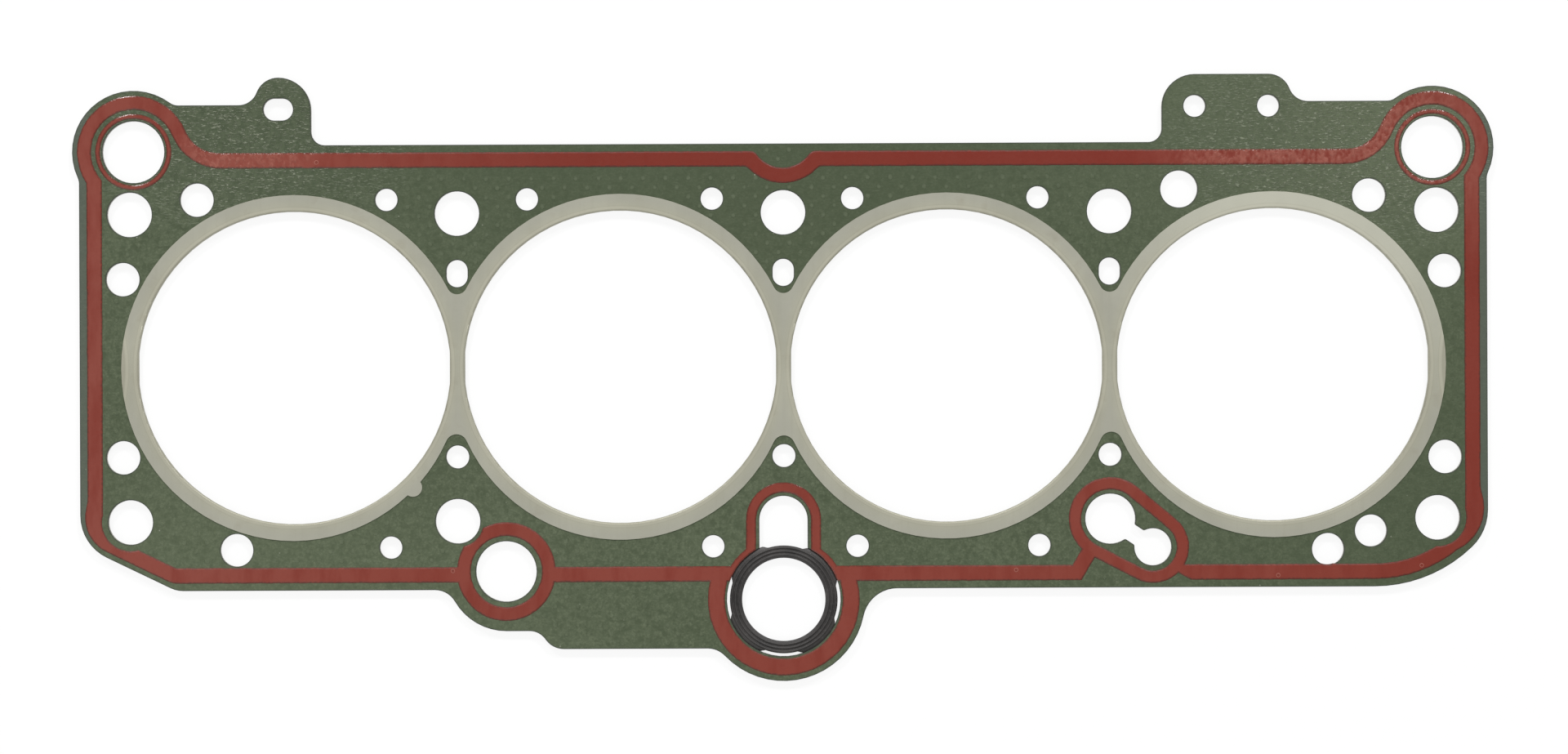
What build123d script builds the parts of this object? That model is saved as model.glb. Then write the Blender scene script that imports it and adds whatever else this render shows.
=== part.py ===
from build123d import *
import os
from math import atan2, cos, degrees, radians, sin, sqrt, tan

# Cylinder head gasket for a four-cylinder engine, in millimetres.
# The origin is the middle of the four outer head bolt holes, half way through the sheet.
# +X runs along the row of bores, +Y across it and +Z out of the head side.

# Thickness of the sheet and how far the printed bead stands above each face
sheet_thickness = 1.6
bead_height = 0.2

# Cylinder bores in a row, each with a shallow flat at both ends of its width
bore_count = 4
bore_radius = 42.15
bridge_width = 3.7
bore_flat_depth = 0.2
bore_flat_round = 10.0

# Combustion flange: one folded piece of sheet metal round all the bores
flange_sheet = 0.2
flange_bend = 0.3
flange_width = 4.5
lip_width = 3.45
lip_slit = 0.5
upper_crotch = 2.75
lower_crotch = 3.0
lower_flank_drop = 1.05
end_flank_shift = 0.6
nub_radius = 2.5
nub_inset = 1.25
nub_angle = -45.4

# Outline of the sheet, measured from the flange
end_land = 11.25
side_land = 13.4
left_cut_foot = 25.9
left_cut_side = 12.5
left_foot_round = 8.0
left_side_round = 12.6
right_cut_foot = 15.4
right_cut_side = 14.68
right_foot_round = 38.0
right_side_round = 13.9

# Corner lobes round the oil holes
lobe_inset = 14.7
lobe_drop = 1.65
lobe_radius = 16.55
lobe_hole = 8.35
lobe_blend = 4.0

# Shoulders beside the lobes and the ears above them
shoulder_rise = 10.9
ear_rise = 18.3
ear_near_round = 6.2
ear_far_round = 8.85
ear_near_blend = 5.3
ear_far_blend = 3.7
left_ear_reach = 4.1
right_ear_near_reach = -1.0
right_ear_far_reach = -20.9
ear_hole_drop = 8.6
ear_slot_length = 8.0
ear_slot_width = 5.95
ear_hole = 2.95

# Drain boss and the step beside it, measured from the first bridge
drain_offset = 13.0
drain_rise = 4.95
drain_hole = 8.16
drain_boss_radius = 16.1
drain_blend = 6.2
step_start = 8.8
step_run = 3.6
step_depth = 16.05
step_top_round = 5.2
step_foot_round = 6.0
step_blend = 6.4

# Boss under the middle bridge, which holds the rubber ring
boss_offset = -0.2
boss_drop = 2.9
boss_radius = 22.0
boss_blend = 9.3

# Head bolt holes, with the oil feed beside the last lower one
end_bolt_inset = 13.6
bolt_inset = 18.55
bolt_hole = 6.0
keyhole_half_width = 6.5
feed_bolt_hole = 6.75
feed_offset = 11.46
feed_drop = 7.64
feed_hole = 5.0
feed_channel = 4.6
feed_round = 0.6

# Water holes round each bore, as the angle, the land between the flange and the hole, and the hole's radius
water_holes = (
    (
        (152.5, 0.91, 4.5),
        (-152.5, 0.91, 4.5),
        (119.9, 1.22, 4.5),
        (-107.7, 0.50, 4.4),
        (61.1, 2.06, 3.0),
        (-61.9, 5.38, 3.0),
    ),
    (
        (119.0, 2.11, 3.0),
        (61.3, 1.97, 3.0),
        (-62.9, 4.87, 3.0),
    ),
    (
        (119.2, 2.21, 3.0),
        (61.4, 1.92, 3.0),
        (-116.5, 4.60, 3.0),
        (-62.9, 4.87, 3.0),
    ),
    (
        (118.0, 1.99, 5.0),
        (60.2, 1.30, 4.5),
        (-73.6, 1.07, 4.3),
        (-59.7, 1.13, 4.3),
        (28.4, 1.60, 4.5),
        (-28.4, 1.60, 4.5),
    ),
)
bridge_slot_gap = 9.8
bridge_slot_length = 7.3
bridge_slot_width = 5.7
bridge_hole_gap = 8.65
bridge_hole = 3.08

# Printed bead: its run round the sheet, then its loops as the gap from the hole and the width
bead_inset = 2.1
bead_width = 4.0
bead_left_cut_foot = 24.4
bead_left_cut_side = 11.8
port_ring_gap = 0.7
port_ring_width = 1.13
lobe_bead_gap = 3.15
lobe_bead_width = 3.6
lobe_bead_blend = 10.0
dip_radius = 8.8
dip_rise = 2.2
dip_round = 2.0
end_bolt_bead_gap = 1.8
left_turn_radius = 10.2
left_turn_bulge = 0.7
left_turn_rise = 1.3
right_turn_radius = 12.45
right_turn_bulge = 0.95
right_turn_rise = 2.6
turn_blend_rise = 2.0
turn_blend = 12.0
drain_bead_gap = 1.54
drain_bead_width = 3.55
drain_bead_trim = 1.05
boss_bead_gap = 0.66
boss_bead_width = 4.4
neck_bead_gap = 0.06
neck_bead_width = 1.5
keyhole_bead_gap = 1.0
keyhole_bead_width = 2.55
feed_bolt_bead_gap = 1.25
feed_bead_gap = 1.5
feed_bead_width = 3.15
feed_leg_angle = 59.4
feed_leg_foot = -7.9
feed_gap_reach = 21.7
feed_gap_cut = 3.5

# Moulded rubber ring with ribs, held by tabs of one width at four angles
ring_hole = 11.23
ring_wall = 3.25
ring_web = 1.2
rib_count = 3
rib_pitch = 0.97
first_rib = 0.87
rib_foot = 0.75
rib_crest = 0.35
tab_reach = 0.86
tab_span = 50.0
tab_angles = (42.0, 134.2, 222.5, 312.2)

# Heights that follow from the thicknesses
sheet_top = sheet_thickness / 2
flange_top = sheet_top + flange_sheet
bead_top = sheet_top + bead_height

# Places that follow from the row of bores
bore_pitch = 2 * bore_radius + bridge_width
flange_radius = bore_radius + flange_width
crotch_y = sqrt(flange_radius**2 - (bore_pitch / 2) ** 2)
bores_x = [(i - (bore_count - 1) / 2) * bore_pitch for i in range(bore_count)]
bridges_x = [(a + b) / 2 for a, b in zip(bores_x, bores_x[1:])]
row_end = bores_x[-1]
half_length = row_end + flange_radius + end_land
half_width = flange_radius + side_land
end_bolt_x = half_length - end_bolt_inset
bolt_y = half_width - bolt_inset
lobe_x = half_length - lobe_inset
lobe_y = half_width - lobe_drop
shoulder_y = half_width + shoulder_rise
ear_top = half_width + ear_rise
ear_hole_y = ear_top - ear_hole_drop
left_ear_x = -row_end - left_ear_reach
right_ear_near_x = row_end + right_ear_near_reach
right_ear_far_x = row_end + right_ear_far_reach
drain_x = bridges_x[0] + drain_offset
drain_y = drain_rise - half_width
boss_x = bridges_x[1] + boss_offset
boss_y = -half_width - boss_drop
feed_bolt_x = bridges_x[-1]
feed_x = feed_bolt_x + feed_offset
feed_y = -bolt_y - feed_drop
ring_outer = ring_hole + ring_wall
ring_seat = ring_outer + tab_reach
bead_foot_y = bead_inset - half_width


def disc(x, y, radius):
    return Pos(x, y) * Circle(radius)


def box(x0, x1, y0, y1):
    return Pos((x0 + x1) / 2, (y0 + y1) / 2) * Rectangle(abs(x1 - x0), abs(y1 - y0))


def polygon(*points):
    return make_face(Polyline(*points, close=True))


def rounded(shape, x, y, radius):
    """Rounds the corner of a flat shape that lies nearest to x, y."""
    return fillet(shape.vertices().sort_by_distance((x, y, 0))[0], radius)


def bore(x, growth=0.0):
    """A cylinder bore with its flats, grown outward by growth."""
    flats = Rectangle(2 * (bore_radius - bore_flat_depth + growth), 3 * bore_radius)
    shape = Circle(bore_radius + growth) & flats
    return Pos(x, 0) * fillet(shape.vertices(), bore_flat_round + growth)


def plate(left_foot, left_side):
    """The sheet's main rectangle with its two cut and rounded lower corners."""
    shape = polygon(
        (-half_length, half_width),
        (-half_length, left_side - half_width),
        (left_foot - half_length, -half_width),
        (half_length - right_cut_foot, -half_width),
        (half_length, right_cut_side - half_width),
        (half_length, half_width),
    )
    shape = rounded(shape, left_foot - half_length, -half_width, left_foot_round)
    shape = rounded(shape, -half_length, left_side - half_width, left_side_round)
    shape = rounded(shape, half_length - right_cut_foot, -half_width, right_foot_round)
    return rounded(shape, half_length, right_cut_side - half_width, right_side_round)


def ear(side, near_x, far_x):
    """An ear whose tight round faces the end of the sheet and whose wide round faces the middle."""
    far_y = ear_top - ear_far_round
    flank_x = far_x - side * ear_far_round
    pieces = [
        disc(near_x, ear_top - ear_near_round, ear_near_round),
        disc(far_x, far_y, ear_far_round) & box(far_x, flank_x, far_y, ear_top),
        box(near_x, flank_x, 0, far_y),
        box(side * lobe_x, far_x, 0, shoulder_y),
    ]
    if near_x != far_x:
        pieces.append(box(near_x, far_x, 0, ear_top))
    return pieces


def step():
    """The deeper part of the lower edge between the drain boss and the middle boss."""
    foot_y = drain_y - drain_boss_radius
    return polygon(
        (drain_x, drain_y),
        (drain_x, foot_y),
        (drain_x + step_start, foot_y),
        (drain_x + step_start + step_run, -half_width - step_depth),
        (boss_x, -half_width - step_depth),
        (boss_x, drain_y),
    )


def sheet_outline():
    """The outer edge of the sheet, with every inner corner blended."""
    ears = ((-1, left_ear_x, left_ear_x), (1, right_ear_near_x, right_ear_far_x))
    step_y = -half_width - step_depth
    shape = plate(left_cut_foot, left_cut_side) + [
        *[disc(side * lobe_x, lobe_y, lobe_radius) for side in (-1, 1)],
        *[piece for ear_sizes in ears for piece in ear(*ear_sizes)],
        disc(drain_x, drain_y, drain_boss_radius),
        step(),
        disc(boss_x, boss_y, boss_radius),
    ]
    for side, near_x, far_x in ears:
        shape = rounded(shape, side * half_length, lobe_y - lobe_radius / 2, lobe_blend)
        shape = rounded(shape, side * (lobe_x - lobe_radius), shoulder_y, lobe_blend)
        shape = rounded(shape, near_x + side * ear_near_round, shoulder_y, ear_near_blend)
        shape = rounded(shape, far_x - side * ear_far_round, half_width, ear_far_blend)
    shape = rounded(shape, drain_x - drain_boss_radius, -half_width, drain_blend)
    shape = rounded(shape, drain_x + step_start, drain_y - drain_boss_radius, step_top_round)
    shape = rounded(shape, drain_x + step_start + step_run, step_y, step_foot_round)
    shape = rounded(shape, boss_x - boss_radius, step_y, step_blend)
    return rounded(shape, boss_x + boss_radius, -half_width, boss_blend)


def keyhole(reach):
    """The middle bolt hole's round top and straight sides, which run down into the boss."""
    return [disc(boss_x, -bolt_y, reach), box(boss_x - reach, boss_x + reach, boss_y, -bolt_y)]


def linked_holes():
    """The last lower bolt hole and the oil feed, joined by a short channel."""
    turn = degrees(atan2(-feed_drop, feed_offset))
    channel = Rectangle(feed_offset, feed_channel)
    middle = Pos(feed_bolt_x + feed_offset / 2, -bolt_y - feed_drop / 2)
    shape = disc(feed_bolt_x, -bolt_y, feed_bolt_hole) + disc(feed_x, feed_y, feed_hole)
    shape += middle * Rot(0, 0, turn) * channel
    corners = shape.vertices().sort_by_distance(middle.position)[:4]
    return fillet(corners, feed_round)


def water_hole(bore_x, angle, land, radius):
    """A hole beside the flange of one bore, at an angle round it."""
    reach = flange_radius + land + radius
    return disc(bore_x + reach * cos(radians(angle)), reach * sin(radians(angle)), radius)


def sheet_holes():
    """Every hole punched in the sheet, apart from the cylinder bores."""
    holes = [disc(side * end_bolt_x, row * bolt_y, bolt_hole) for side in (-1, 1) for row in (-1, 1)]
    holes += [disc(x, bolt_y, bolt_hole) for x in bridges_x]
    holes += [disc(bridges_x[0], -bolt_y, bolt_hole), linked_holes()]
    holes += [disc(side * lobe_x, lobe_y, lobe_hole) for side in (-1, 1)]
    holes += [water_hole(x, *size) for x, sizes in zip(bores_x, water_holes) for size in sizes]
    holes += [disc(x, -crotch_y - bridge_hole_gap, bridge_hole) for x in bridges_x]
    slot = Rot(0, 0, 90) * SlotOverall(bridge_slot_length, bridge_slot_width)
    holes += [Pos(x, crotch_y + bridge_slot_gap) * slot for x in bridges_x]
    holes += [Pos(left_ear_x, ear_hole_y) * SlotOverall(ear_slot_length, ear_slot_width)]
    holes += [disc(x, ear_hole_y, ear_hole) for x in (right_ear_near_x, right_ear_far_x)]
    holes += [disc(drain_x, drain_y, drain_hole), disc(boss_x, boss_y, ring_seat)]
    return holes + keyhole(keyhole_half_width)


def flange_outline():
    """The flange seen from the head side: round the bores, with a rounded crotch at each end of a bridge."""
    shape = Sketch() + [disc(x, 0, flange_radius) for x in bores_x]
    flank_radius = flange_radius - lower_flank_drop
    for x in bridges_x:
        flank = box(x - bore_pitch / 2, x + bore_pitch / 2, -2 * flange_radius, 0)
        shifts = [end_flank_shift * (x == bridges_x[0]), end_flank_shift * (x == bridges_x[-1])]
        centres = [x - bore_pitch / 2 - shifts[0], x + bore_pitch / 2 + shifts[1]]
        lobes = Sketch() + [disc(centre, -lower_flank_drop, flank_radius) for centre in centres]
        shape = shape - flank + (lobes & flank)
    for x in bridges_x:
        shape = rounded(shape, x, crotch_y, upper_crotch)
        shape = rounded(shape, x, -crotch_y, lower_crotch)
    turn = radians(nub_angle)
    reach = flange_radius - nub_inset
    return shape + disc(bores_x[0] + reach * cos(turn), reach * sin(turn), nub_radius)


def lip_outline():
    """The folded lips on the block side, parted by a slit along the middle of each bridge."""
    slits = [box(x - lip_slit / 2, x + lip_slit / 2, -flange_radius, flange_radius) for x in bridges_x]
    return Sketch() + [disc(x, 0, bore_radius + lip_width) for x in bores_x] - slits


def bore_rims(block):
    """The edges round the bores on the top face of a block."""
    wires = [wire for face in block.faces().group_by(Axis.Z)[-1] for wire in face.inner_wires()]
    return [edge for wire in wires for edge in wire.edges()]


def half_flange(outline):
    """One face of the flange and half the height of its bore walls, with the folds rounded outside."""
    land = box(-half_length, half_length, -2 * flange_radius, 2 * flange_radius)
    skin = extrude(outline - [bore(x) for x in bores_x], flange_top)
    filler = extrude(land - [bore(x, flange_sheet) for x in bores_x], sheet_top)
    skin = skin.fillet(flange_sheet + flange_bend, bore_rims(skin))
    return skin - filler.chamfer(flange_bend, None, bore_rims(filler))


def combustion_flange():
    return half_flange(flange_outline()) + mirror(half_flange(lip_outline()), Plane.XY)


def belt(share):
    """The land inside the loop round the linked holes, to its inner edge for 0 and its outer edge for 1."""
    width = share * feed_bead_width
    ends = [
        disc(feed_bolt_x, -bolt_y, feed_bolt_hole + feed_bolt_bead_gap + width),
        disc(feed_x, feed_y, feed_hole + feed_bead_gap + width),
    ]
    return make_hull(ends[0].edges() + ends[1].edges())


def feed_leg():
    """The slanting leg that joins the lower run to the loop round the linked holes."""
    turn = radians(feed_leg_angle)
    reach = 3 * bead_width
    foot_x = feed_bolt_x + feed_leg_foot
    along = (reach * cos(turn), reach * sin(turn))
    across = (-bead_width * sin(turn), bead_width * cos(turn))
    return polygon(
        (foot_x, bead_foot_y),
        (foot_x + along[0], bead_foot_y + along[1]),
        (foot_x + along[0] + across[0], bead_foot_y + along[1] + across[1]),
        (foot_x + across[0], bead_foot_y + across[1]),
    )


def feed_gap():
    """The bare land below the loop round the linked holes."""
    rise = 2 * bead_width
    foot_x = feed_bolt_x + feed_leg_foot
    end_x = feed_bolt_x + feed_gap_reach
    return polygon(
        (foot_x, bead_foot_y),
        (foot_x + rise / tan(radians(feed_leg_angle)), bead_foot_y + rise),
        (end_x - feed_gap_cut, bead_foot_y + rise),
        (end_x - feed_gap_cut, bead_foot_y + bead_width / 2),
        (end_x, bead_foot_y),
    )


def bead_outer_land():
    """All the land inside the bead's outer edge."""
    top_y = -bead_foot_y
    lobe_edge = lobe_hole + lobe_bead_gap + lobe_bead_width
    side_x = half_length - bead_inset
    land = offset(plate(bead_left_cut_foot, bead_left_cut_side), -bead_inset)
    land -= [disc(bridges_x[1], half_width + dip_rise, dip_radius), feed_gap()]
    land += [disc(side * lobe_x, lobe_y, lobe_edge) for side in (-1, 1)]
    land += [disc(drain_x, drain_y, drain_hole + drain_bead_gap + drain_bead_width)]
    land += [disc(boss_x, boss_y, ring_seat + boss_bead_gap + boss_bead_width), belt(1)]
    left_turn_x = left_turn_radius - left_turn_bulge - side_x
    right_turn_x = side_x + right_turn_bulge - right_turn_radius
    land += disc(left_turn_x, left_turn_rise - bolt_y, left_turn_radius)
    land += disc(right_turn_x, right_turn_rise - bolt_y, right_turn_radius)
    for side, turn_y in ((-1, left_turn_rise - bolt_y), (1, right_turn_rise - bolt_y)):
        land = rounded(land, side * (lobe_x - lobe_edge), top_y, lobe_bead_blend)
        land = rounded(land, bridges_x[1] + side * dip_radius, top_y, dip_round)
        land = rounded(land, side * side_x, turn_y + turn_blend_rise, turn_blend)
    return land


def bead_inner_land():
    """All the land inside the bead's run, which the bead leaves bare."""
    top_y = -bead_foot_y - bead_width
    lobe_edge = lobe_hole + lobe_bead_gap
    dip_edge = dip_radius + bead_width
    neck_edge = ring_seat + neck_bead_gap + neck_bead_width
    land = offset(plate(bead_left_cut_foot, bead_left_cut_side), -bead_inset - bead_width)
    land += [disc(side * lobe_x, lobe_y, lobe_edge) for side in (-1, 1)]
    land += [disc(side * end_bolt_x, -bolt_y, bolt_hole + end_bolt_bead_gap) for side in (-1, 1)]
    land -= [disc(bridges_x[1], half_width + dip_rise, dip_edge), disc(boss_x, boss_y, neck_edge)]
    land -= [disc(drain_x, drain_y, drain_hole + drain_bead_gap + drain_bead_width)]
    land -= [*keyhole(keyhole_half_width + keyhole_bead_gap + keyhole_bead_width), belt(1), feed_leg()]
    for side in (-1, 1):
        land = rounded(land, side * (lobe_x - lobe_edge), top_y, lobe_bead_blend + bead_width)
        land = rounded(land, bridges_x[1] + side * dip_edge, top_y, dip_round)
    return land


def bead_ports():
    """The bare land round each hole inside a loop of the bead."""
    below = box(-half_length, half_length, 2 * bead_foot_y, bead_foot_y)
    return [
        disc(drain_x, drain_y, drain_hole + drain_bead_gap),
        *keyhole(keyhole_half_width + keyhole_bead_gap),
        disc(boss_x, boss_y, ring_seat + neck_bead_gap),
        disc(boss_x, boss_y, ring_seat + boss_bead_gap) & below,
        belt(0),
        disc(bridges_x[0], -bolt_y, bolt_hole + drain_bead_trim),
    ]


def port_ring_outline(side):
    """The narrow separate ring round a corner oil hole."""
    inner = lobe_hole + port_ring_gap
    return disc(side * lobe_x, lobe_y, inner + port_ring_width) - disc(side * lobe_x, lobe_y, inner)


def ring_profile():
    """Half of the rubber ring's section: a flat web with a row of ribs on it."""
    web = ring_web / 2
    points = [(ring_hole, 0), (ring_hole, web)]
    for i in range(rib_count):
        middle = ring_hole + first_rib + i * rib_pitch
        points += [
            (middle - rib_foot / 2, web),
            (middle - rib_crest / 2, flange_top),
            (middle + rib_crest / 2, flange_top),
            (middle + rib_foot / 2, web),
        ]
    return polygon(*points, (ring_outer, web), (ring_outer, 0))


def oil_seal_ring():
    """The moulded ring with ribs on both faces, and tabs that reach the edge of its hole in the sheet."""
    half = revolve(Plane.XZ * ring_profile(), Axis.Z)
    body = half + mirror(half, Plane.XY)
    band = disc(0, 0, ring_seat) - disc(0, 0, ring_outer)
    reach = 2 * ring_seat
    for angle in tab_angles:
        turns = [radians(angle + side * tab_span / 2) for side in (-1, 1)]
        rim = [(reach * cos(turn), reach * sin(turn)) for turn in turns]
        body += Pos(0, 0, -ring_web / 2) * extrude(band & polygon((0, 0), *rim), ring_web)
    return Pos(boss_x, boss_y) * body


def layer(outline, bottom, thickness):
    return Pos(0, 0, bottom) * extrude(outline, thickness)


sheet = sheet_outline() - sheet_holes() - [bore(x, flange_sheet + flange_bend) for x in bores_x]
bead = bead_outer_land() - bead_inner_land() - bead_ports() - sheet_holes()

parts = {
    "gasket_sheet": layer(sheet, -sheet_top, sheet_thickness),
    "combustion_flange": combustion_flange(),
    "oil_seal_ring": oil_seal_ring(),
}
for face, bottom in (("upper", sheet_top), ("lower", -bead_top)):
    parts[face + "_seal_bead"] = layer(bead, bottom, bead_height)
    for name, side in (("left", -1), ("right", 1)):
        parts[face + "_port_ring_" + name] = layer(port_ring_outline(side), bottom, bead_height)

os.makedirs("parts", exist_ok=True)
for name, solid in parts.items():
    export_step(solid, "parts/" + name + ".step")
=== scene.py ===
import math

import bmesh
import bpy
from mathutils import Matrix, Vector, noise
from mathutils.bvhtree import BVHTree


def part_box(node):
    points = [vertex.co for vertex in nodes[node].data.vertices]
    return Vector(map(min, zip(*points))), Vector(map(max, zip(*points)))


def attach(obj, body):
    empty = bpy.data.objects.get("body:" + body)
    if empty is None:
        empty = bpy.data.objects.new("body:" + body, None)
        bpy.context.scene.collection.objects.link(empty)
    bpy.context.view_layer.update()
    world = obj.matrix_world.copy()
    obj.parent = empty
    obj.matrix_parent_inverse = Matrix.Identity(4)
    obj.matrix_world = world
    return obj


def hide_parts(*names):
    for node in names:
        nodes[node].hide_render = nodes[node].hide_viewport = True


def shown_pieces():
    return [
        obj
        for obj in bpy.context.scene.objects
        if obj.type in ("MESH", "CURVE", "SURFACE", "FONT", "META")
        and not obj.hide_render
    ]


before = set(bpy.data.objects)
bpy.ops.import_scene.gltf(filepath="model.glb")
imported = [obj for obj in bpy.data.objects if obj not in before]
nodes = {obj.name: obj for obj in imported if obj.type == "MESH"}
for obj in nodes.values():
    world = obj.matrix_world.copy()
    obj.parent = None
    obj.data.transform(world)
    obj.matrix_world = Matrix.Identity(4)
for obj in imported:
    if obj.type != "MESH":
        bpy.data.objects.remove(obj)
scene = bpy.context.scene
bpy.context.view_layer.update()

# Sizes and places on the gasket are in millimetres, and become metres when they are used
MM = 0.001
sheet_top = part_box("gasket_sheet")[1].z / MM
bead_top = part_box("upper_seal_bead")[1].z / MM
seat_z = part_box("combustion_flange")[0].z / MM

# How near two heights count as one height, and how near two points are joined
SAME_HEIGHT = 0.001
WELD_REACH = 0.002

# How many times its inset a rim may reach into the material at a sharp corner
CORNER_REACH = 2

# The die-cut sheet: how far apart its outline's points may lie, its rounded rim and its cut wall, painted
# pale as bounce light
SHEET_STEP = 1.6
SHEET_RIM = 0.16
SHEET_RIM_ANGLES = (0.4, 0.8, 1.2)
CUT_WALL_FADE = 0.2
RIM_SHADE_WIDTH = 0.22

# The printed beads: rows of (inset, share of the bead's height, rim shade), and the waves of their edges
BEAD_STEP = 0.7
BEAD_PROFILE = (
    (-0.09, 0.015, 1.0),
    (0.0, 0.22, 1.0),
    (0.26, 0.87, 0.7),
    (0.34, 0.96, 0.4),
    (0.46, 1.0, 0.0),
)
BEAD_RIPPLES = {"seal_bead": 0.08, "port_ring_left": 0.05, "port_ring_right": 0.05}
RIPPLE_SCALE = 0.45
RIPPLE_LAYER = 3.1

# The rubber ring, with three round ribs on each face and four tabs at its edge, and angles in degrees
RING_CENTRE = (-0.2, -62.95)
RING_HOLE = 11.23
RING_WALL = 3.25
RING_CHAMFER = 0.12
RING_EDGE_ROUND = (0.02, 0.04)
RING_TURN_STEP = 2
FIRST_RIB = 0.87
RIB_PITCH = 0.97
RIB_COUNT = 3
RIB_STEPS = 8
RIB_FULLNESS = 0.8
WEB_TOP = 0.6
TAB_REACH = 0.86
TAB_HALF_SPAN = 25.0
TAB_TAPER = 3.5
TAB_ANGLES = (42.0, 134.2, 222.5, 312.2)

# Low bumps over the core's tangs, on a staggered grid, with rows of (share of radius, share of height)
DOT_PITCH = (6.056, 5.018)
DOT_START = (1.71, 3.10)
DOT_ROWS = range(-34, 36)
DOT_COLUMNS = range(-34, 35)
DOT_RADIUS = 0.72
DOT_HEIGHT = 0.03
DOT_SHADE_RISE = 0.026
DOT_SINK = 0.004
DOT_PROFILE = ((1.0, 0.0), (0.8, 0.35), (0.5, 0.8), (0.2, 0.98))
DOT_SIDES = 10
DOT_CLEARANCE = 0.1
DOT_SIZE_SPREAD = 0.25
DOT_PLACE_SPREAD = 0.12
DOT_SEED = 5

# The rays that look for the sheet's flat face all round the foot of a bump
PROBE_COUNT = 8
PROBE_HEIGHT = 10
PROBE_TOLERANCE = 0.02

# The small rings that the printing tool leaves on the bead, as rows of (radius, lift, rim shade), where the
# rim shade paints a highlight on the ring and shade in its hollow
GATE_MARKS = ((-125.8, 55.4), (-89.4, -54.9), (62.5, -55.2), (133.2, -56.9), (171.9, -54.4))
GATE_PROFILE = (
    (0.62, -0.01, 0.0),
    (0.54, 0.035, -0.8),
    (0.45, 0.035, -0.8),
    (0.37, 0.004, 0.6),
    (0.14, 0.004, 0.6),
    (0.09, 0.02, 0.0),
)
GATE_SIDES = 20

# The flange's bores, its fold line of painted shade, and the spans of its lip's painted highlight, duller
# outside and dark painted shade at the bore's edge
BORE_PITCH = 88.0
FOLD_RADIUS = 43.4
FOLD_LINE = (0.04, 0.16)
LIP_SPAN = (43.2, 43.5)
OUTER_SPAN = (43.2, 45.5)
BORE_EDGE_SPAN = (42.34, 42.7)

# Colours of the facing
GREEN = (0.073, 0.094, 0.051)
GREEN_DEEP = (0.046, 0.064, 0.030)
GREEN_PALE = (0.125, 0.150, 0.088)
GREEN_DULL = (0.078, 0.092, 0.075)
GREEN_DOT = (0.165, 0.192, 0.125)
# Painted highlights where crease ridges catch light, and painted shade in their hollows
CREASE_PAINTED_HIGHLIGHT = (0.30, 0.33, 0.24)
CREASE_PAINTED_SHADE = (0.040, 0.056, 0.030)
DUST_SPECK = (0.3, 0.31, 0.25)
# Painted shade along the sheet's rounded rims
SHEET_RIM_PAINTED_SHADE = (0.03, 0.035, 0.03)
# Painted bounce light on the cut walls
CUT_WALL_PAINTED_LIGHT = (0.30, 0.29, 0.24)

# Colours of the printed beads
RED = (0.192, 0.028, 0.015)
RED_BROWN = (0.212, 0.045, 0.030)
RED_DEEP = (0.160, 0.015, 0.006)
# Painted sheen and highlights on the bead
RED_PAINTED_HIGHLIGHT = (0.38, 0.15, 0.11)
# Painted highlight on the gate marks' rings
RED_MARK_PAINTED_HIGHLIGHT = (0.40, 0.17, 0.13)
# A dark edge line on the bead, with painted shade
BEAD_RIM_LINE_AND_SHADE = (0.04, 0.016, 0.011)

# Colours of the flange
TIN = (0.357, 0.352, 0.275)
TIN_PALE = (0.40, 0.395, 0.312)
TIN_OUTER = (0.34, 0.34, 0.30)
TIN_STAIN = (0.26, 0.235, 0.175)
TIN_ROLLED = (0.31, 0.305, 0.24)
TIN_BRIGHT = (0.52, 0.52, 0.43)
# Painted highlight on the lip, painted shade along the fold and at each bore's edge
TIN_LIP_PAINTED_HIGHLIGHT = (0.50, 0.48, 0.38)
TIN_FOLD_PAINTED_SHADE = (0.15, 0.14, 0.10)
TIN_BORE_EDGE_SHADE = (0.13, 0.12, 0.085)

# Colours of the rubber ring
RUBBER = (0.022, 0.020, 0.019)
RUBBER_WORN = (0.040, 0.036, 0.034)
RUBBER_DUST = (0.09, 0.085, 0.08)

# How rough the noise of every material is
NOISE_ROUGHNESS = 0.55

# Stretches of the gasket that differ in tone, as (x, y, half width, half height)
PALE_CORNER = (165, 70, 105, 65)
PALE_FOOT = (-150, -70, 120, 60)
SHADED_END = (178, -40, 100, 90)
SHADED_TOP = (-10, 62, 170, 70)
CLEAR_DOTS = (-15, 58, 150, 60)
CREASED = ((-143, 62, 48, 30), (150, 58, 52, 32))
BROWN_ENDS = ((-215, 0, 170, 130), (170, 75, 90, 50))
BROWN_FOOT = (-20, -60, 150, 45)
# Where a sheen is painted on the bead
BEAD_PAINTED_SHEEN = ((-146, 57, 22, 12), (145, 57, 46, 34))
GLOSSY_RIMS = ((-170, 58, 70, 50), (168, 58, 70, 50), (0, -42, 36, 30))
BRIGHT_TIN = (150, 45, 75, 50)

# Where a tone fades in or out along one direction of the gasket, as (from, to)
CLEAR_DOTS_X = (60, 140)
DULL_DOTS_X = (105, 140)
DULL_ENDS_X = (185.5, 188.5)
DEEP_SIDE_Y = (20, 45)
DEEP_END_X = (150, 175)
UNEVEN_X = (-60, 60)

# The floor, the world's light, and the lamps as (name, place, size, watts), in metres
FLOOR_SIZE = 12
FLOOR_WHITE = (0.9, 0.9, 0.9)
FLOOR_GLOW = 0.86
WORLD_STRENGTH = 0.6
LAMPS = (
    ("far_left_light", (-1.0, 2.2, 1.6), (0.5, 0.3), 34),
    ("far_right_light", (1.0, 2.2, 1.6), (0.5, 0.3), 34),
    ("fill_light", (-0.5, -1.0, 1.2), (1.4, 1.0), 5),
)

# The middle and width of what the camera sees of the gasket, and the width of its sensor
VIEW_CENTRE = (0.1, -2.94)
VIEW_WIDTH = 423.3
SENSOR_WIDTH = 36

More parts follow.
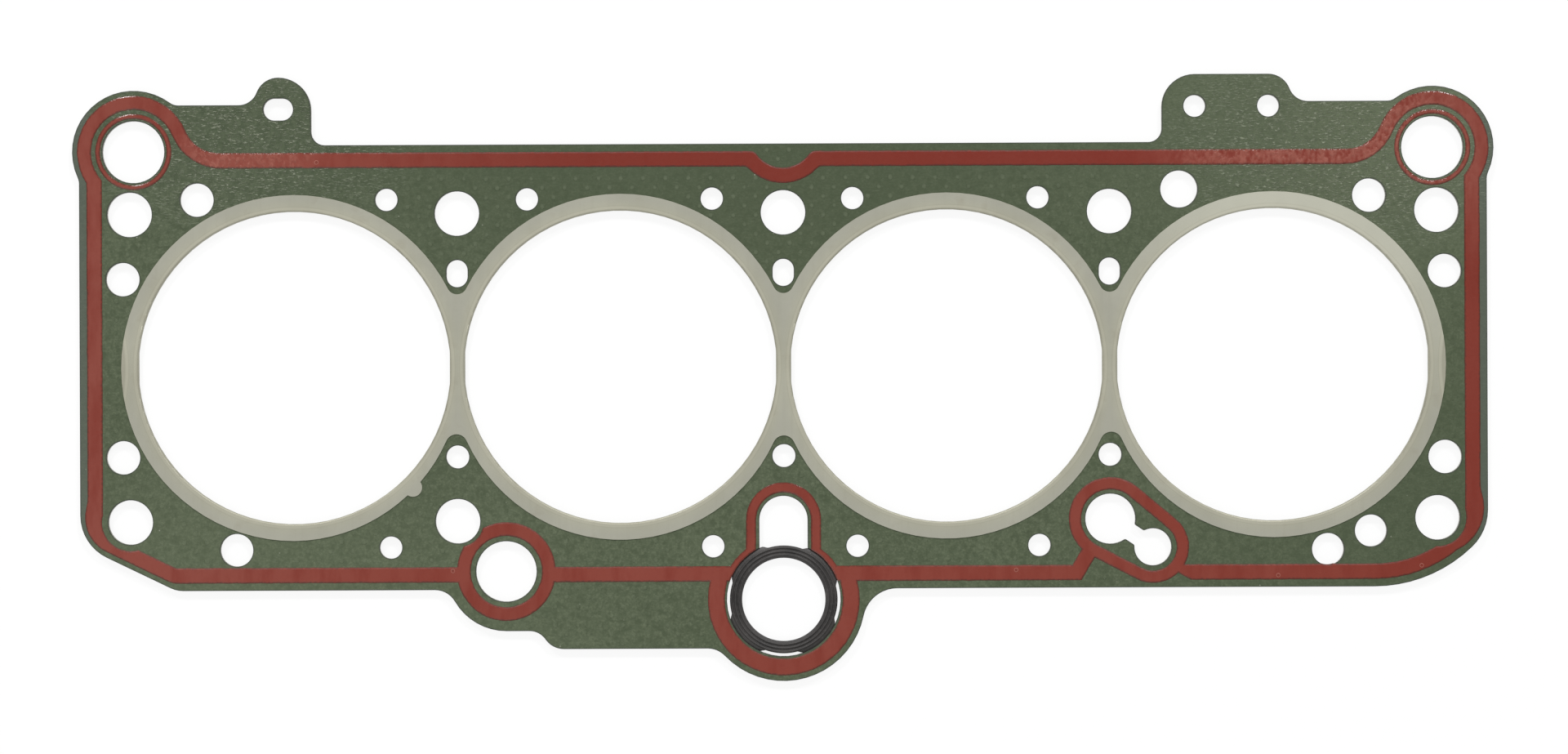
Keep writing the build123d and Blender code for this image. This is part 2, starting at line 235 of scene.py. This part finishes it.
# The camera's height and clip range in metres, and its turn in radians
VIEW_DISTANCE = 1.0
CLIP_RANGE = (0.01, 10)
VIEW_TURN = -0.0040


# Meshes


def make_piece(name, mesh, look, replaced=None):
    """Links a mesh as a piece of the gasket that rides on its one body."""
    piece = bpy.data.objects.new(name, mesh)
    scene.collection.objects.link(piece)
    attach(piece, "root")
    if replaced:
        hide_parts(replaced)
    piece.data.materials.append(look)
    return piece


def metres(*place):
    """A place or size in millimetres, in metres."""
    return tuple(value * MM for value in place)


def finished(bm, name):
    """Turns the shape built so far into a mesh."""
    mesh = bpy.data.meshes.new(name)
    bm.to_mesh(mesh)
    bm.free()
    return mesh


def split_long(points, step):
    """Adds points along each edge that is longer than step."""
    result = []
    for (x0, y0), (x1, y1) in zip(points, points[1:] + points[:1]):
        count = max(1, math.ceil(math.hypot(x1 - x0, y1 - y0) / step))
        result += [(x0 + (x1 - x0) * i / count, y0 + (y1 - y0) * i / count) for i in range(count)]
    return result


def face_loops(node, height, step):
    """The edges of a node's flat face at a height, as closed loops with the material on their left."""
    mesh = nodes[node].data
    spots = {}
    # The edges are a dict's keys, so that the loops come in the same order each run
    edges = {}
    for face in mesh.polygons:
        corners = [mesh.vertices[i].co / MM for i in face.vertices]
        if any(abs(corner.z - height) >= SAME_HEIGHT for corner in corners):
            continue
        keys = []
        for corner in corners:
            key = (round(corner.x, 3), round(corner.y, 3))
            spots[key] = (corner.x, corner.y)
            keys.append(key)
        if face.normal.z < 0:
            keys.reverse()
        for edge in zip(keys, keys[1:] + keys[:1]):
            edges[edge] = True
    follow = {a: b for a, b in edges if (b, a) not in edges}
    loops = []
    while follow:
        start, key = next(iter(follow.items()))
        loop = [start]
        del follow[start]
        while key != start:
            loop.append(key)
            key = follow.pop(key)
        loops.append(split_long([spots[key] for key in loop], step))
    return loops


def inward(loop):
    """At each point of a loop, the step that moves every edge one millimetre into the material."""
    steps = []
    for i, (x, y) in enumerate(loop):
        px, py = loop[i - 1]
        nx, ny = loop[(i + 1) % len(loop)]
        a = Vector((py - y, x - px)).normalized()
        b = Vector((y - ny, nx - x)).normalized()
        half = (a + b).normalized()
        steps.append(half / max(1 / CORNER_REACH, half.dot(a)))
    return steps


def fill(bm, loops, facing):
    """Fills the space between closed rows of points with flat faces that face up or down."""
    edges = [bm.edges.get((loop[i - 1], loop[i])) for loop in loops for i in range(len(loop))]
    filled = bmesh.ops.triangle_fill(bm, edges=edges, use_beauty=True, normal=(0, 0, facing))
    for item in filled["geom"]:
        if isinstance(item, bmesh.types.BMFace):
            item.normal_update()
            if item.normal.z * facing < 0:
                item.normal_flip()


def join_rows(bm, rows, flip):
    """Joins closed rows of points by smooth faces that look away from the material."""
    for lower, upper in zip(rows, rows[1:]):
        for i in range(len(lower)):
            j = (i + 1) % len(lower)
            quad = [lower[i], lower[j], upper[j], upper[i]]
            bm.faces.new(quad if flip > 0 else quad[::-1]).smooth = True


def raised_mesh(name, loops, profile, ripple, flip, closed=True):
    """A mesh whose rim follows rows of (inset, height, rim shade), with flat faces in the end rows."""
    bm = bmesh.new()
    shade = bm.verts.layers.float.new("rim")
    feet = []
    tops = []
    for loop in loops:
        steps = inward(loop)
        rows = []
        for inset, height, rim in profile:
            row = []
            for (x, y), step in zip(loop, steps):
                wave = noise.noise(Vector((x * RIPPLE_SCALE, y * RIPPLE_SCALE, RIPPLE_LAYER)))
                reach = inset + ripple * wave
                vert = bm.verts.new(metres(x + step.x * reach, y + step.y * reach, flip * height))
                vert[shade] = rim
                row.append(vert)
            rows.append(row)
        join_rows(bm, rows, flip)
        feet.append(rows[0])
        tops.append(rows[-1])
    fill(bm, tops, flip)
    if closed:
        fill(bm, feet, -flip)
    return finished(bm, name)


def join_halves(name, upper, lower):
    """One mesh from an upper and a lower half that meet at mid height."""
    bm = bmesh.new()
    bm.from_mesh(upper)
    bm.from_mesh(lower)
    bmesh.ops.remove_doubles(bm, verts=bm.verts, dist=WELD_REACH * MM)
    return finished(bm, name)


def sheet_body():
    """The sheet with its die-cut rims slightly rounded over."""
    loops = face_loops("gasket_sheet", sheet_top, SHEET_STEP)
    rim_foot = sheet_top - SHEET_RIM
    # Rim shade 2 paints light on the cut wall, and 1 and 0.8 paint shade along the rim
    rows = [(0.0, 0.0, 2.0), (0.0, rim_foot - CUT_WALL_FADE, 2.0), (0.0, rim_foot, 1.0)]
    for angle in SHEET_RIM_ANGLES:
        rows.append((SHEET_RIM * (1 - math.cos(angle)), sheet_top - SHEET_RIM * (1 - math.sin(angle)), 1.0))
    rows += [(SHEET_RIM, sheet_top, 0.8), (SHEET_RIM + RIM_SHADE_WIDTH, sheet_top, 0.0)]
    halves = [raised_mesh("half", loops, rows, 0.0, flip, closed=False) for flip in (1, -1)]
    return join_halves("sheet_body", *halves)


def bead_mesh(node, flip, ripple):
    """A printed bead with soft shoulders and a slightly wavy edge."""
    loops = face_loops(node, flip * bead_top, BEAD_STEP)
    rise = bead_top - sheet_top
    rows = [(inset, sheet_top + share * rise, rim) for inset, share, rim in BEAD_PROFILE]
    return raised_mesh(node + "_print", loops, rows, ripple, flip)


def tab_share(turn):
    """How far out the ring's edge reaches at an angle: 0 between its tabs, 1 on a tab."""
    off = min(abs((turn - angle + 180) % 360 - 180) for angle in TAB_ANGLES)
    share = min(1.0, max(0.0, (TAB_HALF_SPAN + TAB_TAPER - off) / (2 * TAB_TAPER)))
    return share * share * (3 - 2 * share)


def ring_section(edge):
    """The upper half of the rubber ring's section, from its hole out to its edge, with round ribs."""
    shoulder = WEB_TOP - RING_CHAMFER
    rise = bead_top - WEB_TOP
    rows = [(RING_HOLE, 0.0), (RING_HOLE, shoulder), (RING_HOLE + RING_CHAMFER, WEB_TOP)]
    start = RING_HOLE + FIRST_RIB - RIB_PITCH / 2
    for i in range(RIB_STEPS * RIB_COUNT + 1):
        swell = 0.5 - 0.5 * math.cos(2 * math.pi * i / RIB_STEPS)
        rows.append((start + RIB_PITCH * i / RIB_STEPS, WEB_TOP + rise * swell ** RIB_FULLNESS))
    rows.append((edge - RING_EDGE_ROUND[0], WEB_TOP - RING_EDGE_ROUND[1]))
    return rows + [(edge, shoulder), (edge, 0.0)]


def ring_mesh():
    """The rubber ring turned from its section, with tabs that swell out to the edge of its hole."""
    bm = bmesh.new()
    columns = []
    for turn in range(0, 360, RING_TURN_STEP):
        half = ring_section(RING_HOLE + RING_WALL + TAB_REACH * tab_share(turn))
        section = half + [(r, -z) for r, z in reversed(half[1:-1])]
        cos, sin = math.cos(math.radians(turn)), math.sin(math.radians(turn))
        spots = [metres(RING_CENTRE[0] + r * cos, RING_CENTRE[1] + r * sin, z) for r, z in section]
        columns.append([bm.verts.new(spot) for spot in spots])
    for left, right in zip(columns, columns[1:] + columns[:1]):
        for i in range(len(left)):
            j = (i + 1) % len(left)
            bm.faces.new((left[i], right[i], right[j], left[j])).smooth = True
    bmesh.ops.recalc_face_normals(bm, faces=bm.faces)
    return finished(bm, "rubber_ring")


def round_stack(bm, spot, rows, sides, flip):
    """Adds a low round form of (radius, height, rim shade) rows at a spot, closed at both ends."""
    shade = bm.verts.layers.float.get("rim") or bm.verts.layers.float.new("rim")
    turns = [2 * math.pi * k / sides for k in range(sides)]
    rings = []
    for radius, height, rim in rows:
        ring = []
        for turn in turns:
            x = spot[0] + radius * math.cos(turn)
            y = spot[1] + radius * math.sin(turn)
            vert = bm.verts.new(metres(x, y, flip * height))
            vert[shade] = rim
            ring.append(vert)
        rings.append(ring)
    join_rows(bm, rings, flip)
    bm.faces.new(rings[-1] if flip > 0 else rings[-1][::-1]).smooth = True
    bm.faces.new(rings[0][::-1] if flip > 0 else rings[0])


def tree_of(objects):
    """One search tree over the faces of some pieces."""
    verts = []
    faces = []
    for obj in objects:
        base = len(verts)
        verts += [v.co.copy() for v in obj.data.vertices]
        faces += [[base + i for i in face.vertices] for face in obj.data.polygons]
    return BVHTree.FromPolygons(verts, faces)


def is_bare(shown, x, y, flip):
    """True where a dot's whole foot stands on the sheet's flat face."""
    reach = DOT_RADIUS + DOT_CLEARANCE
    turns = [2 * math.pi * i / PROBE_COUNT for i in range(PROBE_COUNT)]
    for px, py in [(x, y)] + [(x + reach * math.cos(turn), y + reach * math.sin(turn)) for turn in turns]:
        start = Vector(metres(px, py, flip * PROBE_HEIGHT))
        hit = shown.ray_cast(start, Vector((0, 0, -flip)))[0]
        if hit is None or abs(abs(hit.z) / MM - sheet_top) > PROBE_TOLERANCE:
            return False
    return True


def dots(name, flip, shown):
    """Low round bumps on a staggered grid, one over each tang of the core, a little uneven."""
    noise.seed_set(DOT_SEED)
    bm = bmesh.new()
    for row in DOT_ROWS:
        y = DOT_START[1] + row * DOT_PITCH[1] / 2
        for column in DOT_COLUMNS:
            x = DOT_START[0] + column * DOT_PITCH[0] + (row % 2) * DOT_PITCH[0] / 2
            if not is_bare(shown, x, y, flip):
                continue
            wobble = noise.noise_vector(Vector((x, y, flip)))
            size = DOT_RADIUS * (1 + DOT_SIZE_SPREAD * wobble.z)
            spot = (x + DOT_PLACE_SPREAD * wobble.x, y + DOT_PLACE_SPREAD * wobble.y)
            foot = sheet_top - DOT_SINK
            rows = [(size * reach, foot + DOT_HEIGHT * rise, 0.0) for reach, rise in DOT_PROFILE]
            round_stack(bm, spot, rows, DOT_SIDES, flip)
    return finished(bm, name)


def gate_marks():
    """The small raised rings that the printing tool leaves on the bead."""
    bm = bmesh.new()
    rows = [(radius, bead_top + lift, rim) for radius, lift, rim in GATE_PROFILE]
    for spot in GATE_MARKS:
        round_stack(bm, spot, rows, GATE_SIDES, 1)
    return finished(bm, "gate_marks")


# Materials


class Look:
    """A material whose nodes are added by short calls, each of which gives the result's socket."""

    def __init__(self, name):
        self.made = bpy.data.materials.new(name)
        self.made.use_nodes = True
        self.tree = self.made.node_tree
        self.shader = self.tree.nodes["Principled BSDF"]
        self.coords = self.tree.nodes.new("ShaderNodeTexCoord").outputs["Object"]

    def put(self, socket, value):
        """Sets a socket to a number or a colour, or links a result to it."""
        if isinstance(value, (int, float)):
            socket.default_value = value
        elif isinstance(value, tuple):
            socket.default_value = (*value, 1)
        else:
            self.tree.links.new(value, socket)

    def axis(self, name):
        """The X, Y or Z of a point of the surface, in metres."""
        node = self.tree.nodes.new("ShaderNodeSeparateXYZ")
        self.put(node.inputs["Vector"], self.coords)
        return node.outputs[name]

    def noise(self, scale, detail=3.0, stretch=(1, 1, 1), shift=(0, 0, 0)):
        """Soft noise from 0 to 1, whose scale says how many waves there are in a metre."""
        mapping = self.tree.nodes.new("ShaderNodeMapping")
        mapping.inputs["Scale"].default_value = [scale * s for s in stretch]
        mapping.inputs["Location"].default_value = shift
        self.put(mapping.inputs["Vector"], self.coords)
        texture = self.tree.nodes.new("ShaderNodeTexNoise")
        texture.inputs["Scale"].default_value = 1.0
        texture.inputs["Detail"].default_value = detail
        texture.inputs["Roughness"].default_value = NOISE_ROUGHNESS
        self.put(texture.inputs["Vector"], mapping.outputs["Vector"])
        return texture.outputs["Fac"]

    def cells(self, scale):
        """How far a point lies from the nearest of many scattered points."""
        texture = self.tree.nodes.new("ShaderNodeTexVoronoi")
        texture.inputs["Scale"].default_value = scale
        self.put(texture.inputs["Vector"], self.coords)
        return texture.outputs["Distance"]

    def ramp(self, value, low_at, low_to, high_at, high_to):
        """Goes from low_to, where the value is low_at, to high_to, where it is high_at."""
        node = self.tree.nodes.new("ShaderNodeMapRange")
        node.inputs["From Min"].default_value = low_at
        node.inputs["From Max"].default_value = high_at
        node.inputs["To Min"].default_value = low_to
        node.inputs["To Max"].default_value = high_to
        self.put(node.inputs["Value"], value)
        return node.outputs["Result"]

    def fade(self, value, span, low_to, high_to):
        """Goes from low_to to high_to while a value in metres crosses a span in millimetres."""
        return self.ramp(value, span[0] * MM, low_to, span[1] * MM, high_to)

    def calc(self, kind, *values):
        """One sum on numbers or results."""
        node = self.tree.nodes.new("ShaderNodeMath")
        node.operation = kind
        for socket, value in zip(node.inputs, values):
            self.put(socket, value)
        return node.outputs["Value"]

    def times(self, a, b):
        """The product of two values."""
        return self.calc("MULTIPLY", a, b)

    def most(self, *values):
        """The greatest of several values."""
        result = values[0]
        for value in values[1:]:
            result = self.calc("MAXIMUM", result, value)
        return result

    def mix(self, factor, a, b):
        """Colour a with a share of colour b."""
        node = self.tree.nodes.new("ShaderNodeMix")
        node.data_type = "RGBA"
        self.put(node.inputs["Factor"], factor)
        self.put(node.inputs["A"], a)
        self.put(node.inputs["B"], b)
        return node.outputs["Result"]

    def patch(self, x, y, width, height):
        """1 at the point x, y of the gasket, falling to 0 at the edge of an oval round it."""
        mapping = self.tree.nodes.new("ShaderNodeMapping")
        mapping.vector_type = "TEXTURE"
        mapping.inputs["Location"].default_value = (x * MM, y * MM, 0)
        mapping.inputs["Scale"].default_value = (width * MM, height * MM, 1)
        self.put(mapping.inputs["Vector"], self.coords)
        gradient = self.tree.nodes.new("ShaderNodeTexGradient")
        gradient.gradient_type = "SPHERICAL"
        self.put(gradient.inputs["Vector"], mapping.outputs["Vector"])
        return gradient.outputs["Fac"]

    def patches(self, places):
        """The greatest of the patches at several places."""
        return self.most(*[self.patch(*place) for place in places])

    def rim(self):
        """The rim shade that the meshes carry, which paints light and shade: below 0 on a mark's ring, 1 on
        a rim, 2 on a cut wall.
        """
        node = self.tree.nodes.new("ShaderNodeAttribute")
        node.attribute_name = "rim"
        return node.outputs["Fac"]

    def bump(self, height, distance):
        """Fine relief of a depth in millimetres."""
        node = self.tree.nodes.new("ShaderNodeBump")
        node.inputs["Strength"].default_value = 1.0
        node.inputs["Distance"].default_value = distance * MM
        self.put(node.inputs["Height"], height)
        self.put(self.shader.inputs["Normal"], node.outputs["Normal"])

    def finish(self, colour, roughness):
        """Gives the shader its colour and roughness, and returns the material."""
        self.put(self.shader.inputs["Base Color"], colour)
        self.put(self.shader.inputs["Roughness"], roughness)
        return self.made


def facing_colour(look, grain, dash, creases, creased):
    """The facing's olive, cloudy and grained, with dots, specks, painted highlights and shade on its
    creases, painted shade on its rims and painted light on its cut walls.
    """
    weave = look.noise(680, shift=(3, 1, 0))
    cloud = look.noise(24, detail=2.0, shift=(7, 2, 0))
    colour = look.mix(look.ramp(cloud, 0.38, 0.6, 0.62, 1.0), GREEN_DEEP, GREEN)
    colour = look.mix(look.ramp(grain, 0.45, 0.0, 0.75, 0.65), colour, GREEN_PALE)
    colour = look.mix(look.ramp(weave, 0.36, 0.75, 0.56, 0.0), colour, GREEN_DEEP)
    pale = look.most(look.times(look.patch(*PALE_CORNER), 0.58), look.times(look.patch(*PALE_FOOT), 0.25))
    colour = look.mix(pale, colour, GREEN_PALE)
    shaded_top = look.ramp(look.patch(*SHADED_TOP), 0.0, 0.0, 0.64, 0.64)
    shaded = look.most(look.times(look.patch(*SHADED_END), 0.6), shaded_top)
    colour = look.mix(shaded, colour, GREEN_DEEP)
    over_tang = look.fade(look.axis("Z"), (sheet_top, sheet_top + DOT_SHADE_RISE), 0.0, 1.0)
    clear_left = look.fade(look.axis("X"), CLEAR_DOTS_X, 0.125, 0.0)
    clear = look.calc("ADD", clear_left, look.times(look.patch(*CLEAR_DOTS), 0.17))
    colour = look.mix(look.times(over_tang, clear), colour, GREEN_DOT)
    dull_right = look.fade(look.axis("X"), DULL_DOTS_X, 0.0, 0.18)
    colour = look.mix(look.times(over_tang, dull_right), colour, GREEN_DEEP)
    from_middle = look.calc("ABSOLUTE", look.axis("X"))
    colour = look.mix(look.fade(from_middle, DULL_ENDS_X, 0.0, 0.7), colour, GREEN_DULL)
    # Painted highlights on the crease ridges
    colour = look.mix(look.times(dash, 0.6), colour, CREASE_PAINTED_HIGHLIGHT)
    # Painted shade in the crease hollows
    crease_shade = look.times(look.ramp(creases, 0.34, 0.5, 0.45, 0.0), creased)
    colour = look.mix(crease_shade, colour, CREASE_PAINTED_SHADE)
    dusty = look.ramp(look.noise(130, detail=1.0, shift=(1, 9, 0)), 0.6, 0.0, 0.68, 0.7)
    speck = look.times(look.ramp(look.cells(420), 0.05, 1.0, 0.11, 0.0), dusty)
    colour = look.mix(speck, colour, DUST_SPECK)
    rim = look.rim()
    # Painted shade along the rims
    colour = look.mix(look.ramp(rim, 0.1, 0.0, 0.9, 0.8), colour, SHEET_RIM_PAINTED_SHADE)
    # Painted bounce light on the cut walls
    return look.mix(look.ramp(rim, 1.1, 0.0, 1.8, 1.0), colour, CUT_WALL_PAINTED_LIGHT)


def facing_material():
    """Olive pressed fibre: finely grained, creased near two corners with painted highlights and shade, with
    painted shade on rims and painted light on cut walls.
    """
    look = Look("gasket_sheet")
    grain = look.noise(1900, detail=4.0)
    creases = look.noise(1, stretch=(900, 2750, 440))
    creased = look.ramp(look.patches(CREASED), 0.0, 0.05, 0.55, 1.0)
    dash = look.times(look.ramp(creases, 0.53, 0.0, 0.66, 1.0), creased)
    colour = facing_colour(look, grain, dash, creases, creased)
    look.bump(look.calc("ADD", look.times(dash, 0.6), look.times(grain, 0.12)), 0.3)
    look.shader.inputs["Specular IOR Level"].default_value = 0.35
    return look.finish(colour, look.ramp(grain, 0.3, 0.45, 0.7, 0.62))


def bead_material():
    """Brick-red printed silicone, brown or deep in places, with a painted sheen, painted highlights and
    shade on its lumps and marks, and glossy edges with a dark line and painted shade.
    """
    look = Look("seal_bead")
    cloud = look.noise(30, detail=2.0)
    streak = look.noise(240, stretch=(1.0, 0.3, 1))
    brown = look.most(look.patches(BROWN_ENDS), look.times(look.patch(*BROWN_FOOT), 0.3))
    colour = look.mix(look.ramp(brown, 0.0, 0.0, 0.5, 1.0), RED, RED_BROWN)
    colour = look.mix(look.ramp(cloud, 0.45, 0.0, 0.65, 0.5), colour, RED_BROWN)
    colour = look.mix(look.ramp(streak, 0.45, 0.0, 0.7, 0.6), colour, RED_DEEP)
    far_side = look.fade(look.axis("Y"), DEEP_SIDE_Y, 0.0, 0.75)
    right_end = look.fade(look.axis("X"), DEEP_END_X, 0.0, 0.5)
    deep = look.times(look.most(far_side, right_end), look.ramp(brown, 0.0, 1.0, 0.3, 0.0))
    colour = look.mix(deep, colour, RED_DEEP)
    painted_sheen = look.patches(BEAD_PAINTED_SHEEN)
    in_sheen = look.ramp(painted_sheen, 0.0, 0.0, 0.4, 1.0)
    lumps = look.noise(1, detail=2.0, stretch=(900, 520, 200))
    lump = look.times(look.ramp(lumps, 0.45, 0.0, 0.68, 1.0), in_sheen)
    # Painted sheen, and painted highlights on the lumps
    colour = look.mix(look.ramp(painted_sheen, 0.0, 0.0, 0.6, 0.13), colour, RED_PAINTED_HIGHLIGHT)
    colour = look.mix(look.times(lump, 0.26), colour, RED_PAINTED_HIGHLIGHT)
    # Painted shade between the lumps
    uneven = look.times(look.fade(look.axis("X"), UNEVEN_X, 0.25, 1.0), in_sheen)
    colour = look.mix(look.times(look.ramp(lumps, 0.34, 0.7, 0.47, 0.0), uneven), colour, RED_DEEP)
    rim = look.rim()
    # Painted highlight on the gate marks' rings; the inner rows' rim shade paints shade in their hollows
    colour = look.mix(look.ramp(rim, -0.8, 0.6, -0.1, 0.0), colour, RED_MARK_PAINTED_HIGHLIGHT)
    # A dark, toothed edge line with painted shade along the bead's rims
    teeth = look.noise(1, detail=2.0, stretch=(1300, 1300, 200))
    toothed_rim = look.calc("ADD", rim, look.ramp(teeth, 0.35, -0.3, 0.65, 0.3))
    colour = look.mix(look.ramp(toothed_rim, 0.3, 0.0, 1.0, 0.52), colour, BEAD_RIM_LINE_AND_SHADE)
    fine = look.noise(900)
    glossy = look.ramp(look.patches(GLOSSY_RIMS), 0.0, 0.0, 0.3, 1.0)
    skin = look.times(look.ramp(rim, 0.0, 0.0, 0.6, 1.0), glossy)
    roughness = look.times(look.ramp(fine, 0.3, 0.38, 0.7, 0.52), look.ramp(skin, 0.0, 1.0, 1.0, 0.42))
    relief = look.calc("ADD", fine, look.times(streak, 1.5))
    look.bump(look.calc("ADD", relief, look.times(lump, 2.5)), 0.06)
    look.shader.inputs["Specular IOR Level"].default_value = 0.33
    return look.finish(colour, roughness)


def bore_distance(look):
    """How far a point lies from the axis of its nearest bore, in metres."""
    wrapped = look.calc("WRAP", look.axis("X"), BORE_PITCH * MM, 0.0)
    across = look.calc("SUBTRACT", wrapped, BORE_PITCH / 2 * MM)
    square = look.calc("ADD", look.calc("POWER", across, 2.0), look.calc("POWER", look.axis("Y"), 2.0))
    return look.calc("SQRT", square)


def flange_material():
    """Dull tin-grey sheet steel with soft brown stains, a painted highlight on its lip, a faint line of
    painted shade along each fold and painted shade at each bore's edge.
    """
    look = Look("flange_steel")
    cloud = look.noise(45, detail=4.0)
    stain = look.noise(160, detail=5.0, shift=(2, 5, 0))
    fine = look.noise(1300)
    rolled = look.noise(1, stretch=(650, 22, 1))
    reach = bore_distance(look)
    colour = look.mix(look.ramp(cloud, 0.38, 0.0, 0.62, 1.0), TIN, TIN_PALE)
    colour = look.mix(look.fade(reach, OUTER_SPAN, 0.0, 0.4), colour, TIN_OUTER)
    colour = look.mix(look.ramp(stain, 0.58, 0.0, 0.75, 0.35), colour, TIN_STAIN)
    colour = look.mix(look.ramp(rolled, 0.5, 0.0, 0.7, 0.18), colour, TIN_ROLLED)
    colour = look.mix(look.ramp(look.patch(*BRIGHT_TIN), 0.0, 0.0, 0.6, 0.7), colour, TIN_BRIGHT)
    # Painted highlight on the rounded lip
    colour = look.mix(look.fade(reach, LIP_SPAN, 0.2, 0.0), colour, TIN_LIP_PAINTED_HIGHLIGHT)
    # Painted shade along the line where the fold starts to bend
    off_fold = look.calc("ABSOLUTE", look.calc("SUBTRACT", reach, FOLD_RADIUS * MM))
    colour = look.mix(look.fade(off_fold, FOLD_LINE, 0.12, 0.0), colour, TIN_FOLD_PAINTED_SHADE)
    # Painted shade at the bore's edge
    colour = look.mix(look.fade(reach, BORE_EDGE_SPAN, 0.25, 0.0), colour, TIN_BORE_EDGE_SHADE)
    look.bump(look.calc("ADD", fine, cloud), 0.02)
    look.shader.inputs["Metallic"].default_value = 0.35
    return look.finish(colour, look.ramp(stain, 0.3, 0.42, 0.7, 0.56))


def rubber_material():
    """Black moulded rubber with worn patches and fine dusty specks."""
    look = Look("oil_ring_rubber")
    fine = look.noise(1100, detail=4.0)
    cloud = look.noise(120)
    colour = look.mix(look.ramp(cloud, 0.35, 0.0, 0.65, 1.0), RUBBER, RUBBER_WORN)
    colour = look.mix(look.ramp(fine, 0.55, 0.0, 0.75, 0.4), colour, RUBBER_DUST)
    look.bump(fine, 0.05)
    return look.finish(colour, look.ramp(fine, 0.3, 0.42, 0.7, 0.62))


def floor_material():
    """A matt white floor that looks plain white but keeps the gasket's shadow."""
    look = Look("floor")
    look.shader.inputs["Specular IOR Level"].default_value = 0.1
    paths = look.tree.nodes.new("ShaderNodeLightPath").outputs
    indirect = look.calc("ADD", paths["Is Glossy Ray"], paths["Is Transmission Ray"])
    seen = look.calc("ADD", paths["Is Camera Ray"], indirect)
    glow = look.tree.nodes.new("ShaderNodeEmission")
    glow.inputs["Strength"].default_value = 1.0
    blend = look.tree.nodes.new("ShaderNodeMixShader")
    look.put(blend.inputs["Fac"], look.times(seen, FLOOR_GLOW))
    look.put(blend.inputs[1], look.shader.outputs["BSDF"])
    look.put(blend.inputs[2], glow.outputs["Emission"])
    look.put(look.tree.nodes["Material Output"].inputs["Surface"], blend.outputs["Shader"])
    return look.finish(FLOOR_WHITE, 0.9)


# Pieces

facing = facing_material()
bead_red = bead_material()

make_piece("sheet_body", sheet_body(), facing, "gasket_sheet")
for side, flip in (("upper", 1), ("lower", -1)):
    for end, ripple in BEAD_RIPPLES.items():
        node = side + "_" + end
        make_piece(node + "_print", bead_mesh(node, flip, ripple), bead_red, node)
make_piece("rubber_ring", ring_mesh(), rubber_material(), "oil_seal_ring")

nodes["combustion_flange"].data.materials.clear()
nodes["combustion_flange"].data.materials.append(flange_material())

shown = tree_of(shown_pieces())
for name, flip in (("upper_dots", 1), ("lower_dots", -1)):
    make_piece(name, dots(name, flip, shown), facing)
make_piece("gate_marks", gate_marks(), bead_red)


# Floor, light and camera


def area_light(name, place, size, watts):
    """A rectangular lamp that points at the gasket's middle."""
    data = bpy.data.lights.new(name, "AREA")
    data.shape = "RECTANGLE"
    data.size, data.size_y = size
    data.energy = watts
    light = bpy.data.objects.new(name, data)
    light.location = place
    light.rotation_euler = (-Vector(place)).to_track_quat("-Z", "Y").to_euler()
    scene.collection.objects.link(light)


bpy.ops.mesh.primitive_plane_add(size=FLOOR_SIZE, location=metres(0, 0, seat_z))
floor = bpy.context.object
floor.name = "floor"
floor.data.materials.append(floor_material())

world = bpy.data.worlds.new("studio")
world.use_nodes = True
background = world.node_tree.nodes["Background"]
background.inputs["Color"].default_value = (1, 1, 1, 1)
background.inputs["Strength"].default_value = WORLD_STRENGTH
scene.world = world

for lamp in LAMPS:
    area_light(*lamp)

camera_data = bpy.data.cameras.new("camera")
camera_data.sensor_width = SENSOR_WIDTH
camera_data.lens = SENSOR_WIDTH * VIEW_DISTANCE / (VIEW_WIDTH * MM)
camera_data.clip_start, camera_data.clip_end = CLIP_RANGE
camera = bpy.data.objects.new("camera", camera_data)
camera.location = (VIEW_CENTRE[0] * MM, VIEW_CENTRE[1] * MM, VIEW_DISTANCE)
camera.rotation_euler = (0, 0, VIEW_TURN)
scene.collection.objects.link(camera)
scene.camera = camera

scene.view_settings.view_transform = "Standard"
scene.view_settings.look = "None"
